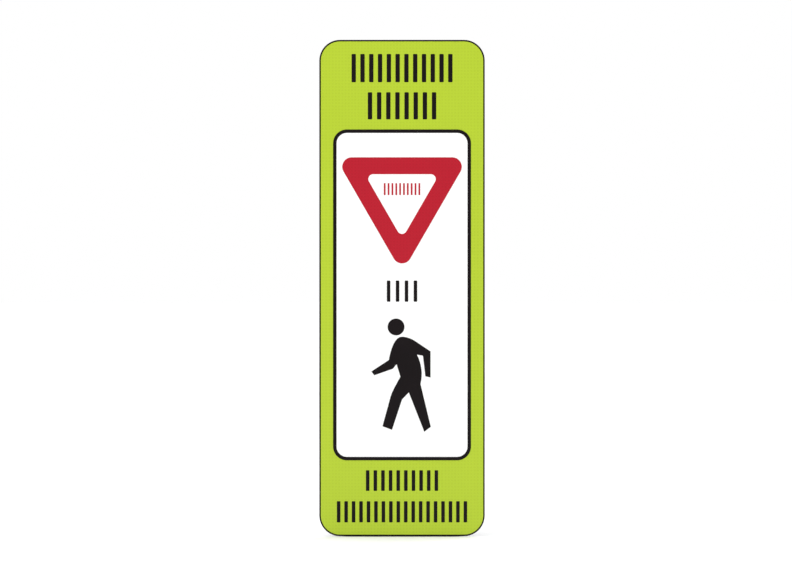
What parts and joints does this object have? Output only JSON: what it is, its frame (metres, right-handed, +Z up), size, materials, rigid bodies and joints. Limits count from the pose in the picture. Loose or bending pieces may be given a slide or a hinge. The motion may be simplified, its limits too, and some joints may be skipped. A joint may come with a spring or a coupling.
{
  "type": "in-street pedestrian crossing sign",
  "caption": "Tall narrow crossing sign panel on a telescoping square post, with a spring-back hinge on a bolt-down base plate.",
  "frame": {"origin": "on the ground under the post's axis, at the underside of the base pad", "axes": "+Z up along the post, +X to the right of someone who faces the sign, -Y out of the sign's face"},
  "size_m": [0.3048, 0.2074, 0.9154],
  "materials": {
    "rubber": "matt black moulded rubber",
    "galvanised_steel": "hot-dip galvanised, spangled",
    "zinc_plated_steel": "bright zinc plate",
    "spring_steel": "dark oil-tempered wire",
    "bronze": "plain bearing bronze",
    "post_aluminium": "mill-finish extrusion",
    "rail_aluminium": "mill-finish extrusion",
    "sheet_aluminium": "conversion-coated sheet, fine rolling grain",
    "white_nylon": "natural nylon",
    "black_plastic": "moulded, fine texture",
    "bond_tape": "grey foam bonding tape",
    "green_sheeting": "fluorescent yellow-green prismatic sheeting",
    "white_sheeting": "white prismatic sheeting",
    "black_film": "opaque black film",
    "red_film": "transparent red film"
  },
  "bodies": {
    "base": {"base_pad": "rubber", "base_plate": "galvanised_steel", "hinge_bracket": "galvanised_steel", "stop_bumper": "rubber", "hinge_pin": "zinc_plated_steel", "hinge_washer": "zinc_plated_steel", "cotter_pin": "zinc_plated_steel", "spring_sleeve_left": "white_nylon", "spring_sleeve_right": "white_nylon", "torsion_spring_left": "spring_steel", "torsion_spring_right": "spring_steel"},
    "lower_post": {"hinge_foot": "galvanised_steel", "hinge_bush": "bronze", "lower_post": "post_aluminium", "lower_post_plug": "black_plastic"},
    "sign_head": {"upper_post": "post_aluminium", "post_cap": "black_plastic", "lock_nut": "zinc_plated_steel", "rail_upper": "rail_aluminium", "rail_lower": "rail_aluminium", "rail_end_caps": "black_plastic", "bond_tape_upper": "bond_tape", "bond_tape_lower": "bond_tape", "rail_rivets": "rail_aluminium", "post_strap_upper": "galvanised_steel", "post_strap_lower": "galvanised_steel", "clamp_bolts": "zinc_plated_steel", "clamp_washers": "zinc_plated_steel", "clamp_nuts": "zinc_plated_steel", "sign_blank": "sheet_aluminium", "green_sheeting": "green_sheeting", "edge_line": "black_film", "white_field": "white_sheeting", "field_border": "black_film", "yield_triangle": "red_film", "yield_bars": "red_film", "middle_bars": "black_film", "pedestrian_figure": "black_film", "top_bars": "black_film", "bottom_bars": "black_film"},
    "lock_pad": {"lock_pad": "bronze"},
    "lock_screw": {"lock_screw": "zinc_plated_steel", "lock_tee_bar": "zinc_plated_steel"}
  },
  "joints": [
    {"name": "rebound_fold", "type": "hinge", "parent": "base", "child": "lower_post", "pos_m": [0, 0, 0.062], "axis": [-1, 0, 0], "range_deg": [0, 90], "stiffness_Nm_per_rad": 20.4, "springref_deg": -20.05, "deforming": ["torsion_spring_left", "torsion_spring_right"]},
    {"name": "height_slide", "type": "slide", "parent": "lower_post", "child": "sign_head", "axis": [0, 0, 1], "range_m": [0, 0.3038]},
    {"name": "lock_pad_slide", "type": "slide", "parent": "sign_head", "child": "lock_pad", "axis": [1, 0, 0], "range_m": [0, 0.003]},
    {"name": "lock_screw_turn", "type": "hinge", "parent": "lock_pad", "child": "lock_screw", "pos_m": [0.0535, 0, 0.1281], "axis": [1, 0, 0], "range_deg": [0, 720]}
  ],
  "couplings": [
    {"joint": "lock_screw_turn", "follows": "lock_pad_slide", "rad_per_m": 4188.7}
  ]
}
